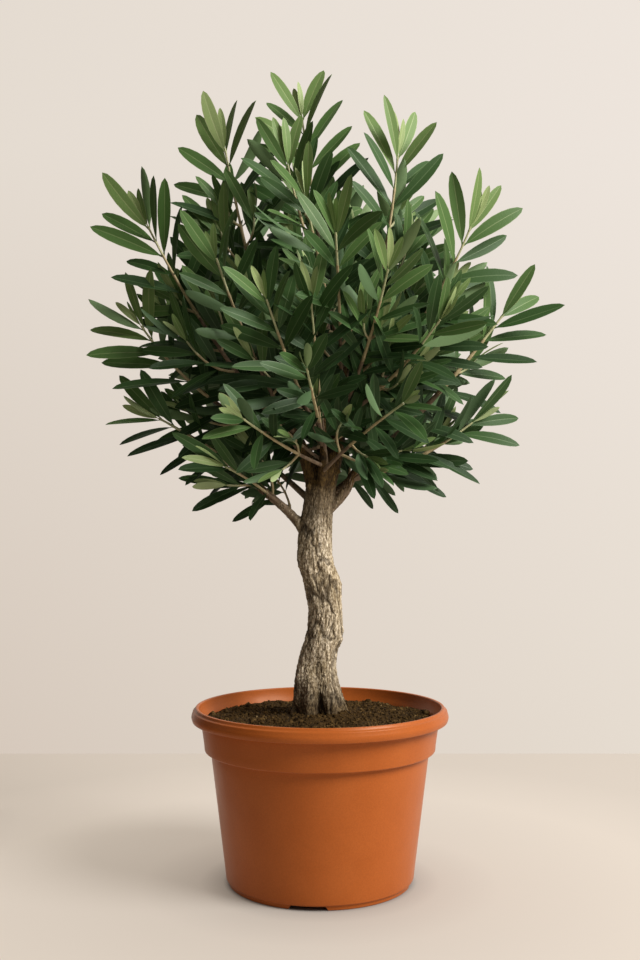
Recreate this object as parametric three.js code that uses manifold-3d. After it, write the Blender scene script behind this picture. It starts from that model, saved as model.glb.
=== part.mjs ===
// A young olive tree with a short twisted trunk and a rounded head, growing in a 30 cm nursery pot.
// Millimetres, +Z up. The origin is on the pot's axis, on the surface that the pot stands on.
import * as THREE from "three";
import { mergeVertices } from "three/addons/utils/BufferGeometryUtils.js";
import Module from "manifold-3d";

const wasm = await Module();
wasm.setup();

// Clearance kept between neighbouring solids.
const GAP = 0.3;
// Smallest detail kept after a cut.
const SLIVER = 0.02;

// The pot: a tapered wall, a stepped collar and a rolled rim, on a foot ring with drainage notches.
const POT = {
  segments: 36,
  footRadius: 107,
  footWidth: 7.5,
  footHeight: 5,
  wallBottomRadius: 109.8,
  wallTopRadius: 127.8,
  wallTop: 149,
  wall: 2.6,
  floor: 3,
  collarRadius: 135.4,
  collarBottom: 156,
  collarTopRadius: 137.2,
  rimUnderside: 182,
  rimRadius: 151,
  rimTop: 204.5,
  rimLipRadius: 141,
};
const NOTCH = { count: 4, firstTurn: -97, bottomWidth: 46, topWidth: 38, height: 6.5, depth: 24 };

// The soil: level with the collar at the wall, and mounded up to the trunk.
const SOIL = { edgeHeight: 187, moundHeight: 198, padRadius: 40, shoulderRadius: 78 };

// The trunk: rows of height above the soil, the middle's offset to the right and to the back,
// and the radius there.
const TRUNK = {
  sides: 14,
  rings: 15,
  stations: [
    [0, -1, 0, 29],
    [14, -2, 0, 27],
    [47, -5, 2, 22.5],
    [82, 2, 5, 21.5],
    [112, 6.5, 4, 20],
    [141, 1.5, 0, 19.5],
    [177, -5, -3, 20],
    [207, -6, -2, 20],
    [232, -3, 0, 18.5],
    [254, -1, 0, 17],
  ],
  rootLobes: 5,
  lobeDepth: 0.17,
  lobeHeight: 26,
  furrow: 0.035,
};

// The two leaders that the trunk forks into, and the short limb between them. Each runs from the
// fork to inside the heart of the head.
const LEADERS = [
  { name: "leader_left", turn: 196, lean: 66, rise: 130, foot: 7, radius: 10.5, tipRadius: 6, bow: 9 },
  { name: "leader_right", turn: -8, lean: 44, rise: 150, foot: 6, radius: 12, tipRadius: 7, bow: 10 },
  { name: "leader_back", turn: 96, lean: 60, rise: 140, foot: 7, radius: 9.5, tipRadius: 6, bow: 8 },
];

// The dense heart of the head.
const HEART = { height: 632, wide: 150, deep: 142, tall: 134, lumps: 0.09, detail: 3 };

// The plumes: each is one shoot with its leaves. `turn` is its compass turn in degrees from the
// right towards the back, `out` and `top` place its furthest leaf tips, `root` is the height where
// it leaves the middle of the tree, `bow` is how far its middle hangs outside the straight line,
// `girth` is the radius of its leaves, and `bare` is the leafless share of its length.
const PLUMES = [
  { name: "top_centre", turn: 205, out: 10, top: 962, root: 600, bow: -8, girth: 60, bare: 0.2 },
  { name: "top_left", turn: 189, out: 132, top: 926, root: 545, bow: 22, girth: 47, bare: 0.2 },
  { name: "top_right", turn: 345, out: 112, top: 910, root: 580, bow: 14, girth: 54, bare: 0.2 },
  { name: "upper_left", turn: 195, out: 256, top: 800, root: 520, bow: 10, girth: 50, bare: 0.2 },
  { name: "upper_right", turn: 343, out: 232, top: 812, root: 530, bow: 9, girth: 50, bare: 0.2 },
  { name: "mid_left", turn: 188, out: 268, top: 676, root: 490, bow: 8, girth: 46, bare: 0.2 },
  { name: "mid_right", turn: 354, out: 270, top: 712, root: 455, bow: 24, girth: 47, bare: 0.25 },
  { name: "low_left", turn: 187, out: 240, top: 554, root: 408, bow: -11, girth: 42, bare: 0.38 },
  { name: "low_right", turn: 354, out: 242, top: 550, root: 436, bow: 0, girth: 43, bare: 0.36 },
  { name: "front_left_low", turn: 243, out: 240, top: 566, root: 464, bow: 4, girth: 46, bare: 0.36 },
  { name: "front_right_low", turn: 297, out: 244, top: 580, root: 462, bow: 6, girth: 48, bare: 0.36 },
  { name: "front_centre", turn: 266, out: 256, top: 612, root: 520, bow: 8, girth: 52, bare: 0.3 },
  { name: "front_left_high", turn: 240, out: 172, top: 738, root: 560, bow: 6, girth: 48, bare: 0.3 },
  { name: "front_right_high", turn: 298, out: 168, top: 762, root: 560, bow: 8, girth: 48, bare: 0.3 },
  { name: "back_top", turn: 78, out: 112, top: 880, root: 590, bow: 12, girth: 52, bare: 0.2 },
  { name: "back_top_left", turn: 138, out: 176, top: 850, root: 560, bow: 14, girth: 50, bare: 0.2 },
  { name: "back_top_right", turn: 36, out: 184, top: 838, root: 560, bow: 14, girth: 50, bare: 0.2 },
  { name: "back_upper_left", turn: 152, out: 250, top: 742, root: 520, bow: 12, girth: 50, bare: 0.2 },
  { name: "back_upper_right", turn: 22, out: 256, top: 748, root: 520, bow: 12, girth: 50, bare: 0.2 },
  { name: "back_mid", turn: 92, out: 252, top: 716, root: 500, bow: 12, girth: 52, bare: 0.25 },
  { name: "back_mid_left", turn: 122, out: 254, top: 640, root: 480, bow: 8, girth: 48, bare: 0.25 },
  { name: "back_mid_right", turn: 60, out: 252, top: 650, root: 480, bow: 8, girth: 48, bare: 0.25 },
  { name: "back_low_left", turn: 146, out: 238, top: 558, root: 436, bow: -4, girth: 44, bare: 0.38 },
  { name: "back_low_right", turn: 34, out: 240, top: 560, root: 438, bow: -4, girth: 44, bare: 0.38 },
  { name: "back_low", turn: 88, out: 232, top: 548, root: 446, bow: 0, girth: 44, bare: 0.38 },
];
const PLUME = { sides: 9, rings: 7, unevenness: 0.13, lowestRoot: 474 };
// A plume that leaves the trunk below this height has its bough in the open.
const BOUGH = { sides: 7, rings: 4, radius: 8.2, tipRadius: 4.6, reach: 0.62 };

const COLOURS = {
  terracotta: 0xa8562c,
  soil: 0x2f241a,
  bark: 0x85755a,
  youngBark: 0x5d4a35,
  leaf: 0x46683f,
  paleLeaf: 0x6b8a58,
};

const plastic = new THREE.MeshStandardMaterial({ color: COLOURS.terracotta, roughness: 0.6 });
const earth = new THREE.MeshStandardMaterial({ color: COLOURS.soil, roughness: 1 });
const bark = new THREE.MeshStandardMaterial({ color: COLOURS.bark, roughness: 0.95 });
const youngBark = new THREE.MeshStandardMaterial({ color: COLOURS.youngBark, roughness: 0.9 });
const leaves = new THREE.MeshStandardMaterial({ color: COLOURS.leaf, roughness: 0.55 });
const paleLeaves = new THREE.MeshStandardMaterial({ color: COLOURS.paleLeaf, roughness: 0.6 });

// A closed geometry as a solid that can be cut and joined.
function solidOf(geometry) {
  const bare = geometry.clone();
  bare.deleteAttribute("normal");
  bare.deleteAttribute("uv");
  const merged = mergeVertices(bare, 1e-3);
  return new wasm.Manifold(
    new wasm.Mesh({
      numProp: 3,
      vertProperties: merged.attributes.position.array,
      triVerts: new Uint32Array(merged.index.array),
    }),
  );
}

// The largest body of a solid, as a mesh with its name and material.
function meshOf(solid, name, material) {
  const bodies = solid.simplify(SLIVER).decompose();
  bodies.sort((a, b) => b.volume() - a.volume());
  const { vertProperties, triVerts } = bodies[0].getMesh();
  const geometry = new THREE.BufferGeometry();
  geometry.setAttribute("position", new THREE.BufferAttribute(vertProperties, 3));
  geometry.setIndex(new THREE.BufferAttribute(triVerts, 1));
  geometry.computeVertexNormals();
  const mesh = new THREE.Mesh(geometry, material);
  mesh.name = name;
  return mesh;
}

// A profile of [radius, height] rows turned round the pot's axis.
function turned(rows) {
  const profile = rows.map(([radius, height]) => new THREE.Vector2(radius, height));
  return new THREE.LatheGeometry(profile, POT.segments).rotateX(Math.PI / 2);
}

// A cylinder whose every vertex is carried to place(t, angle, share): t runs from 0 at the foot to
// 1 at the tip, and share from 0 on the axis to 1 on the surface.
function carried(sides, rings, place) {
  const geometry = new THREE.CylinderGeometry(1, 1, 1, sides, rings);
  const position = geometry.attributes.position;
  for (let i = 0; i < position.count; i++) {
    const x = position.getX(i);
    const z = position.getZ(i);
    const point = place(position.getY(i) + 0.5, Math.atan2(x, z), Math.hypot(x, z));
    position.setXYZ(i, point.x, point.y, point.z);
  }
  return geometry;
}

// A round limb or plume along a curve, with its radius as a function of t and angle.
function alongCurve(curve, sides, rings, radiusAt) {
  const frames = curve.computeFrenetFrames(rings, false);
  return carried(sides, rings, (t, angle, share) => {
    const ring = Math.round(t * rings);
    const radius = share * radiusAt(t, angle);
    return curve
      .getPointAt(t)
      .addScaledVector(frames.normals[ring], radius * Math.cos(angle))
      .addScaledVector(frames.binormals[ring], radius * Math.sin(angle));
  });
}

// A point at a compass turn in degrees, a distance out from the tree's middle and a height.
function polar(turn, out, height) {
  const angle = THREE.MathUtils.degToRad(turn);
  return new THREE.Vector3(out * Math.cos(angle), out * Math.sin(angle), height);
}

// A curve between two points whose middle hangs outside and below the straight line by bow.
function bowed(start, end, turn, bow) {
  const along = end.clone().sub(start).normalize();
  const outward = polar(turn, 1, 0);
  const sag = outward.addScaledVector(along, -outward.dot(along)).normalize();
  if (along.z < 0.2) sag.set(0, 0, -1);
  const middle = start.clone().lerp(end, 0.5).addScaledVector(sag, 2 * bow);
  return new THREE.QuadraticBezierCurve3(start, middle, end);
}

function makePot() {
  const under = POT.footHeight;
  const inside = under + POT.floor;
  const footInside = POT.footRadius - POT.footWidth;
  const bead = POT.rimRadius - POT.rimLipRadius;
  const body = turned([
    [0, under],
    [footInside - 2, under],
    [footInside, 0],
    [POT.footRadius - 1.5, 0],
    [POT.footRadius, 1.5],
    [POT.wallBottomRadius, under + 1],
    [POT.wallTopRadius, POT.wallTop],
    [POT.collarRadius - 2, POT.collarBottom - 3],
    [POT.collarRadius, POT.collarBottom],
    [POT.collarTopRadius, POT.rimUnderside - 2],
    [POT.rimRadius - 0.25 * bead, POT.rimUnderside + 4],
    [POT.rimRadius, POT.rimUnderside + 13],
    [POT.rimRadius - 0.2 * bead, POT.rimTop - 3],
    [POT.rimRadius - 0.5 * bead, POT.rimTop],
    [POT.rimLipRadius + 0.15 * bead, POT.rimTop - 1],
    [POT.rimLipRadius, POT.rimTop - 5],
    [POT.collarTopRadius - POT.wall, POT.rimUnderside],
    [POT.collarRadius - POT.wall, POT.collarBottom + 1],
    [POT.wallTopRadius - POT.wall, POT.wallTop],
    [POT.wallBottomRadius - POT.wall, inside],
    [0, inside],
  ]);
  let pot = solidOf(body);
  for (let i = 0; i < NOTCH.count; i++) {
    const outline = new THREE.Shape([
      new THREE.Vector2(-NOTCH.bottomWidth / 2, -1),
      new THREE.Vector2(NOTCH.bottomWidth / 2, -1),
      new THREE.Vector2(NOTCH.topWidth / 2, NOTCH.height),
      new THREE.Vector2(-NOTCH.topWidth / 2, NOTCH.height),
    ]);
    const wedge = new THREE.ExtrudeGeometry(outline, { depth: NOTCH.depth, bevelEnabled: false });
    // Stands the outline upright, facing out from the axis, across the foot ring.
    wedge.rotateX(Math.PI / 2);
    wedge.translate(0, POT.footRadius + NOTCH.depth / 3, 0);
    wedge.rotateZ(THREE.MathUtils.degToRad(NOTCH.firstTurn - 90 + (i * 360) / NOTCH.count));
    // The notch stays below the floor plate, so it only opens the foot ring.
    pot = pot.subtract(solidOf(wedge).subtract(solidOf(floorPlug())));
  }
  return meshOf(pot, "pot", plastic);
}

// The space over the pot's floor, which the drainage notches stay out of.
function floorPlug() {
  const base = POT.footHeight;
  return turned([
    [0, base],
    [POT.wallBottomRadius - POT.wall, base],
    [POT.wallBottomRadius - POT.wall, 3 * base],
    [0, 3 * base],
  ]);
}

function makeSoil() {
  const clear = POT.wall + GAP;
  const bottom = POT.footHeight + POT.floor + GAP;
  const body = turned([
    [0, bottom],
    [POT.wallBottomRadius - clear - 0.5, bottom],
    [POT.wallTopRadius - clear, POT.wallTop],
    [POT.collarRadius - clear - 0.3, POT.collarBottom + 2],
    [POT.collarTopRadius - clear - 0.3, POT.rimUnderside],
    [POT.collarTopRadius - clear - 0.3, SOIL.edgeHeight - 3],
    [POT.collarTopRadius - clear - 8, SOIL.edgeHeight],
    [SOIL.shoulderRadius, SOIL.edgeHeight + 5],
    [SOIL.padRadius, SOIL.moundHeight],
    [0, SOIL.moundHeight],
  ]);
  return meshOf(solidOf(body), "soil", earth);
}

// A row of the trunk's stations at a height above the soil, smoothly between the rows given.
function trunkAt(height) {
  const rows = TRUNK.stations;
  let i = 1;
  while (i < rows.length - 1 && rows[i][0] < height) i++;
  const before = rows[Math.max(i - 2, 0)];
  const [low, high] = [rows[i - 1], rows[i]];
  const after = rows[Math.min(i + 1, rows.length - 1)];
  const t = (height - low[0]) / (high[0] - low[0]);
  return low.map((value, column) => {
    const slopeLow = (high[column] - before[column]) / 2;
    const slopeHigh = (after[column] - value) / 2;
    const rise = high[column] - value;
    const square = 3 * rise - 2 * slopeLow - slopeHigh;
    const cube = slopeLow + slopeHigh - 2 * rise;
    return value + t * (slopeLow + t * (square + t * cube));
  });
}

const trunkFoot = SOIL.moundHeight + GAP;
const trunkTop = TRUNK.stations.at(-1)[0];

// The trunk as a solid, with its surface moved out by extra.
function trunkSolid(extra) {
  const geometry = carried(TRUNK.sides, TRUNK.rings, (t, angle, share) => {
    const height = t * trunkTop;
    const [, right, back, radius] = trunkAt(height);
    const fading = Math.exp(-height / TRUNK.lobeHeight);
    const lobes = TRUNK.lobeDepth * fading * Math.cos(TRUNK.rootLobes * angle + 1);
    const furrows = TRUNK.furrow * Math.sin(3 * angle + height / 24);
    const reach = share * (radius * (1 + lobes + furrows) + extra);
    const end = t === 1 ? extra : 0;
    return new THREE.Vector3(
      right + reach * Math.sin(angle),
      back - reach * Math.cos(angle),
      trunkFoot + height + end,
    );
  });
  return solidOf(geometry);
}

// The curve of a plume's shoot, from the middle of the tree to its furthest leaf tips.
function shootCurve(plume) {
  const [, right, back] = trunkAt(Math.min(plume.root - trunkFoot, trunkTop));
  const start = new THREE.Vector3(right, back, plume.root);
  return bowed(start, polar(plume.turn, plume.out, plume.top), plume.turn, plume.bow);
}

// The stretch of a curve between two shares of its length, as a curve.
function stretch(curve, from, to) {
  const steps = 4;
  const points = [];
  for (let i = 0; i <= steps; i++) points.push(curve.getPointAt(from + ((to - from) * i) / steps));
  return new THREE.CatmullRomCurve3(points);
}

// One plume of leaves: slender where the leaves begin, full near its tip, and blunt at the end.
function plumeSolid(plume, index, extra) {
  const curve = stretch(shootCurve(plume), plume.bare, 1);
  const radiusAt = (t, angle) => {
    const swelling = 0.5 + 0.5 * THREE.MathUtils.smoothstep(t, 0, 0.55);
    const closing = t > 0.7 ? Math.sqrt(1 - 0.93 * ((t - 0.7) / 0.3) ** 2) : 1;
    const wave = Math.sin(2 * angle + 9 * t + 2 * index) + Math.sin(3 * angle - 14 * t + index);
    return plume.girth * swelling * closing * (1 + PLUME.unevenness * wave * closing) + extra;
  };
  return solidOf(alongCurve(curve, PLUME.sides, PLUME.rings, radiusAt));
}

// The heart of the head: one round, lumpy mass.
function heartSolid(extra) {
  const geometry = new THREE.IcosahedronGeometry(1, HEART.detail);
  const position = geometry.attributes.position;
  const point = new THREE.Vector3();
  for (let i = 0; i < position.count; i++) {
    point.fromBufferAttribute(position, i);
    const lump = Math.sin(5 * point.x + 1) * Math.cos(4 * point.y) + Math.sin(6 * point.z + 2 * point.x);
    const swell = 1 + HEART.lumps * lump;
    position.setXYZ(
      i,
      point.x * (HEART.wide * swell + extra),
      point.y * (HEART.deep * swell + extra),
      HEART.height + point.z * (HEART.tall * swell + extra),
    );
  }
  return solidOf(geometry);
}

// A tapering limb along the first part of a curve.
function limbSolid(curve, radius, tipRadius, extra) {
  const radiusAt = (t) => THREE.MathUtils.lerp(radius, tipRadius, t) + extra;
  return solidOf(alongCurve(curve, BOUGH.sides, BOUGH.rings, radiusAt));
}

const tree = new THREE.Group();
tree.add(makePot());
tree.add(makeSoil());
tree.add(meshOf(trunkSolid(0), "trunk", bark));

// Foliage: the heart first, then each plume cut round what is already there.
let foliage = heartSolid(GAP);
tree.add(meshOf(heartSolid(0), "foliage_heart", leaves));
PLUMES.forEach((plume, index) => {
  const solid = plumeSolid(plume, index, 0).subtract(foliage);
  tree.add(meshOf(solid, "foliage_" + plume.name, index % 3 ? leaves : paleLeaves));
  foliage = foliage.add(plumeSolid(plume, index, GAP));
});

// Limbs: each starts on the trunk and ends where it enters the foliage.
let wood = trunkSolid(GAP);
const limbs = LEADERS.map((leader) => {
  const foot = trunkFoot + trunkTop + 2 * GAP;
  const [, right, back] = trunkAt(trunkTop);
  const start = polar(leader.turn, leader.foot, foot).add(new THREE.Vector3(right, back, 0));
  const end = polar(leader.turn, leader.lean, foot + leader.rise);
  const curve = bowed(start, end, leader.turn, leader.bow);
  return { name: leader.name, curve, radius: leader.radius, tipRadius: leader.tipRadius };
});
for (const plume of PLUMES) {
  if (plume.root > PLUME.lowestRoot) continue;
  const curve = stretch(shootCurve(plume), 0, BOUGH.reach);
  limbs.push({ name: "bough_" + plume.name, curve, radius: BOUGH.radius, tipRadius: BOUGH.tipRadius });
}
for (const limb of limbs) {
  const grown = limbSolid(limb.curve, limb.radius, limb.tipRadius, GAP);
  const solid = limbSolid(limb.curve, limb.radius, limb.tipRadius, 0).subtract(wood).subtract(foliage);
  tree.add(meshOf(solid, limb.name, youngBark));
  wood = wood.add(grown);
}

export default tree;
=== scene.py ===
import math
import random

import bmesh
import bpy
import numpy as np
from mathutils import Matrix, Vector, noise


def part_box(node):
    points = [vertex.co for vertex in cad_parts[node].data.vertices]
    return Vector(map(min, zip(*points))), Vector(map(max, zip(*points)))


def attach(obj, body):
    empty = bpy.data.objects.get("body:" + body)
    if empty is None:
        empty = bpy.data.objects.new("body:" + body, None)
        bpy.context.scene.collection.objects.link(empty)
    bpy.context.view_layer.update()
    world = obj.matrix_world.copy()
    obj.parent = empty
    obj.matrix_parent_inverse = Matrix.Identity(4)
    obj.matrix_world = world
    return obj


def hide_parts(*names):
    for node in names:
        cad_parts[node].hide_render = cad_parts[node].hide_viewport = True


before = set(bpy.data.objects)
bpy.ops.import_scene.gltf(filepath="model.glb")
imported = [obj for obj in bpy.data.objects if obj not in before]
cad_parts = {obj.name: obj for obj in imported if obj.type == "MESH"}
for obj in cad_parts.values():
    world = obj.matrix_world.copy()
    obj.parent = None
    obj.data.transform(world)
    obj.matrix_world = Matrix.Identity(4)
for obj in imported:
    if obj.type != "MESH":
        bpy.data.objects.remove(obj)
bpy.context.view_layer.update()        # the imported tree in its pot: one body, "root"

scene = bpy.context.scene
MM = 0.001
TAU = 2 * math.pi


# ---- The view ----
# From the front at the height of the lowest leaves, on a 42 mm lens, looking up a little.
camera = bpy.data.objects.new("camera", bpy.data.cameras.new("camera"))
camera.data.lens = 42
camera.data.sensor_width = 36
camera.location = (0, -1.331, 0.425)
camera.rotation_euler = (math.radians(91.91), 0, 0)
scene.collection.objects.link(camera)
scene.camera = camera
scene.view_settings.view_transform = "Standard"


# ---- Makers of meshes, finishes and node trees ----

def new_object(name, mesh):
    """A mesh as an object at the origin of the scene."""
    made = bpy.data.objects.new(name, mesh)
    scene.collection.objects.link(made)
    return made


def finished(piece, slot, *nodes):
    """The piece rides with the tree and stands for the nodes it replaces. Its slot is not used."""
    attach(piece, "root")
    if nodes:
        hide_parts(*nodes)


def applied(source, name):
    """A plain mesh of what a source object's modifiers make; the source is then removed."""
    graph = bpy.context.evaluated_depsgraph_get()
    mesh = bpy.data.meshes.new_from_object(source.evaluated_get(graph))
    bpy.data.objects.remove(source)
    mesh.name = name
    return new_object(name, mesh)


def smooth(mesh):
    """Smooth shading on all of a mesh's faces."""
    mesh.polygons.foreach_set("use_smooth", [True] * len(mesh.polygons))
    mesh.update()


def bridged(body, rings):
    """Faces between each ring of corners and the next. Corners that are one point count once."""
    for low, high in zip(rings, rings[1:]):
        for k in range(len(low)):
            j = (k + 1) % len(low)
            body.faces.new(list(dict.fromkeys((low[k], low[j], high[j], high[k]))))


def capped(body, rings):
    """The closed skin over rings of corners, with a flat face at each end."""
    bridged(body, rings)
    body.faces.new(reversed(rings[0]))
    body.faces.new(rings[-1])


def mesh_of(body, name, turn_out=True, soft=True):
    """The mesh of a bmesh, which is then freed: its faces turned outwards and shaded smooth."""
    if turn_out:
        bmesh.ops.recalc_face_normals(body, faces=body.faces)
    mesh = bpy.data.meshes.new(name)
    body.to_mesh(mesh)
    body.free()
    if soft:
        smooth(mesh)
    return mesh


def added(tree, kind, *inputs, **settings):
    """A node in a tree, with its properties set. Each input is linked to a socket or given a value."""
    made = tree.nodes.new(kind)
    for key, value in settings.items():
        setattr(made, key, value)
    for name, value in inputs:
        if isinstance(value, bpy.types.NodeSocket):
            tree.links.new(value, made.inputs[name])
        else:
            made.inputs[name].default_value = value
    return made


def finish_of(name, colour, roughness, gloss=0.5):
    """A new material with its node tree and its shader."""
    material = bpy.data.materials.new(name)
    material.use_nodes = True
    shader = material.node_tree.nodes["Principled BSDF"]
    shader.inputs["Base Color"].default_value = (*colour, 1)
    shader.inputs["Roughness"].default_value = roughness
    shader.inputs["Specular IOR Level"].default_value = gloss
    return material, material.node_tree, shader


def grain(tree, scale, detail=2.0, stretch=(1, 1, 1), distortion=0.0):
    """A noise on the object's own coordinates. Scale is in grains per metre."""
    place = added(tree, "ShaderNodeTexCoord").outputs["Object"]
    mapping = added(tree, "ShaderNodeMapping", ("Vector", place), ("Scale", stretch))
    texture = added(tree, "ShaderNodeTexNoise", ("Vector", mapping.outputs["Vector"]), ("Scale", scale),
                    ("Detail", detail), ("Distortion", distortion))
    return texture.outputs["Fac"]


def ramp(tree, value, *stops):
    """Colours or greys along a value, each stop a (position, colour) pair."""
    made = added(tree, "ShaderNodeValToRGB", ("Fac", value))
    band = made.color_ramp
    while len(band.elements) < len(stops):
        band.elements.new(0.5)
    for element, (position, colour) in zip(band.elements, stops):
        element.position = position
        element.color = (*colour, 1) if isinstance(colour, tuple) else (colour,) * 3 + (1,)
    return made.outputs["Color"]


def blended(tree, share, first, second, way="MIX"):
    """Two colours mixed by a share. Each of the three is a socket or a plain value."""
    colours = [(*value, 1) if isinstance(value, tuple) else value for value in (first, second)]
    made = added(tree, "ShaderNodeMix", (0, share), (6, colours[0]), (7, colours[1]),
                 data_type="RGBA", blend_type=way)
    return made.outputs[2]


def bumped(tree, shader, *layers):
    """Bumps stacked on the shader, each a (height socket, depth in metres) pair."""
    under = []
    for height, depth in layers:
        made = added(tree, "ShaderNodeBump", ("Strength", 1), ("Distance", depth), ("Height", height), *under)
        under = [("Normal", made.outputs["Normal"])]
    tree.links.new(made.outputs["Normal"], shader.inputs["Normal"])


def tree_of(name, *inputs):
    """An empty geometry tree that passes a Geometry through, with its named extra inputs."""
    group = bpy.data.node_groups.new(name, "GeometryNodeTree")
    face = group.interface
    face.new_socket("Geometry", in_out="INPUT", socket_type="NodeSocketGeometry")
    for label, kind in inputs:
        face.new_socket(label, in_out="INPUT", socket_type="NodeSocket" + kind)
    face.new_socket("Geometry", in_out="OUTPUT", socket_type="NodeSocketGeometry")
    return group, group.nodes.new("NodeGroupInput"), group.nodes.new("NodeGroupOutput")


def realised(group, instances):
    """Instances as real geometry."""
    return added(group, "GeometryNodeRealizeInstances", ("Geometry", instances)).outputs["Geometry"]


def painted(group, geometry, given, result):
    """The geometry takes the tree's Material and is what the tree gives."""
    made = added(group, "GeometryNodeSetMaterial", ("Geometry", geometry),
                 ("Material", given.outputs["Material"]))
    group.links.new(made.outputs["Geometry"], result.inputs["Geometry"])


def dealt_out(group, given, points, *inputs):
    """One of the Kinds at each of the points, as real geometry."""
    kinds = added(group, "GeometryNodeCollectionInfo", ("Collection", given.outputs["Kinds"]),
                  ("Separate Children", True), ("Reset Children", True))
    placed = added(group, "GeometryNodeInstanceOnPoints", ("Points", points),
                   ("Instance", kinds.outputs["Instances"]), ("Pick Instance", True), *inputs)
    return realised(group, placed.outputs["Instances"])


def attribute(group, name, kind):
    """A named attribute of the source's points."""
    made = added(group, "GeometryNodeInputNamedAttribute", ("Name", name), data_type=kind)
    return made.outputs["Attribute"]


def grown_by(group, source, name, **values):
    """The plain mesh that a geometry tree makes of a source object, with its inputs set."""
    modifier = source.modifiers.new(name, "NODES")
    modifier.node_group = group
    for item in group.interface.items_tree:
        key = item.name.replace(" ", "_").lower()
        if item.in_out == "INPUT" and key in values:
            modifier[item.identifier] = values[key]
    return applied(source, name)


# ---- The pot ----
# A 30 cm nursery pot, moulded in one piece in terracotta-coloured polypropylene. Its wall tapers
# for stacking, its stepped collar stiffens the mouth, and its rim is rolled over as a hand hold.
# It stands on a low foot ring with four drainage notches.

def arc(middle_r, middle_z, radius, start, end, steps=5):
    """Profile points round part of a circle, with its angles in degrees from straight out."""
    points = []
    for i in range(steps + 1):
        angle = math.radians(start + (end - start) * i / steps)
        points.append((middle_r + radius * math.cos(angle), middle_z + radius * math.sin(angle)))
    return points


def turned(name, profile, segments):
    """A closed profile of (radius, height), which begins and ends on the axis, turned round it."""
    body = bmesh.new()
    rings = []
    for radius, height in profile:
        if radius < 1e-6:
            rings.append([body.verts.new((0, 0, height))] * segments)
            continue
        turns = [TAU * i / segments for i in range(segments)]
        rings.append([body.verts.new((radius * math.cos(a), radius * math.sin(a), height)) for a in turns])
    bridged(body, rings)
    return mesh_of(body, name)


_, pot_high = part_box("pot")
RIM = pot_high.x                       # radius of the rolled rim
POT_TOP = pot_high.z - 1.2 * MM
WALL = 2.6 * MM
FOOT = RIM - 44 * MM                   # radius of the foot ring
FOOT_HEIGHT = 5 * MM
WALL_FOOT = RIM - 41.2 * MM
WALL_TOP = RIM - 23.3 * MM
COLLAR = RIM - 15.6 * MM
COLLAR_TOP = RIM - 11.6 * MM
COLLAR_FOOT_HEIGHT = POT_TOP - 49 * MM
RIM_FOOT_HEIGHT = POT_TOP - 16 * MM
LIP = RIM - 8.6 * MM

pot_profile = [(0, FOOT_HEIGHT), (FOOT - 9.5 * MM, FOOT_HEIGHT)]
pot_profile += [(FOOT - 7.5 * MM, 0.6 * MM), (FOOT - 6.9 * MM, 0)]
pot_profile += arc(FOOT - 1.6 * MM, 1.6 * MM, 1.6 * MM, -90, 0)
pot_profile += [(FOOT + 0.3 * MM, 4.2 * MM), (FOOT + 0.9 * MM, 5 * MM)]
pot_profile += arc(WALL_FOOT - 1.5 * MM, 7.2 * MM, 1.6 * MM, -50, -4, 3)
pot_profile += [(WALL_FOOT + (WALL_TOP - WALL_FOOT) * t, 7.5 * MM + (COLLAR_FOOT_HEIGHT - 13 * MM) * t)
                for t in (0.1, 0.3, 0.5, 0.7, 0.9, 1.0)]
pot_profile += arc(WALL_TOP + 2.2 * MM, COLLAR_FOOT_HEIGHT - 3.4 * MM, 2.1 * MM, 175, 100, 4)
pot_profile += arc(COLLAR - 1.5 * MM, COLLAR_FOOT_HEIGHT + 0.5 * MM, 1.5 * MM, -84, -6, 5)
pot_profile += [(COLLAR + (COLLAR_TOP - COLLAR) * t,
                 COLLAR_FOOT_HEIGHT + 3 * MM + (RIM_FOOT_HEIGHT - COLLAR_FOOT_HEIGHT - 6 * MM) * t)
                for t in (0.15, 0.5, 0.85, 1.0)]
pot_profile += arc(COLLAR_TOP + 1.7 * MM, RIM_FOOT_HEIGHT - 1.6 * MM, 1.6 * MM, 175, 96, 4)
# The rim: a slightly bowed band with a crisp foot, a narrow ledge, and a rounded bead inside it.
pot_profile += arc(RIM - 2 * MM, RIM_FOOT_HEIGHT + 0.9 * MM, 0.9 * MM, -84, -14, 4)
pot_profile += [(RIM - 0.5 * MM, RIM_FOOT_HEIGHT + 2.6 * MM), (RIM, RIM_FOOT_HEIGHT + 5 * MM)]
pot_profile += [(RIM - 0.4 * MM, RIM_FOOT_HEIGHT + 7.6 * MM), (RIM - 1.5 * MM, POT_TOP - 6 * MM)]
pot_profile += arc(RIM - 3.3 * MM, POT_TOP - 5.4 * MM, 1.9 * MM, 20, 66, 4)
pot_profile += [(RIM - 3.5 * MM, POT_TOP - 3.3 * MM), (RIM - 4.3 * MM, POT_TOP - 2.5 * MM)]
pot_profile += arc(RIM - 6.2 * MM, POT_TOP - 1.7 * MM, 1.7 * MM, 26, 90, 4)
pot_profile += arc(LIP + 1.3 * MM, POT_TOP - 1.4 * MM, 1.3 * MM, 96, 178, 5)
pot_profile += [(LIP - 0.4 * MM, POT_TOP - 8 * MM), (COLLAR_TOP - WALL + 2 * MM, RIM_FOOT_HEIGHT + 2 * MM)]
pot_profile += [(COLLAR_TOP - WALL, RIM_FOOT_HEIGHT - 3 * MM), (COLLAR - WALL, COLLAR_FOOT_HEIGHT + 4 * MM)]
pot_profile += [(WALL_TOP - WALL, COLLAR_FOOT_HEIGHT - 3 * MM), (WALL_FOOT - WALL, FOOT_HEIGHT + 3 * MM)]
pot_profile += [(0, FOOT_HEIGHT + 3 * MM)]
pot_body = new_object("pot_body", turned("pot_body", pot_profile, 192))

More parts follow.
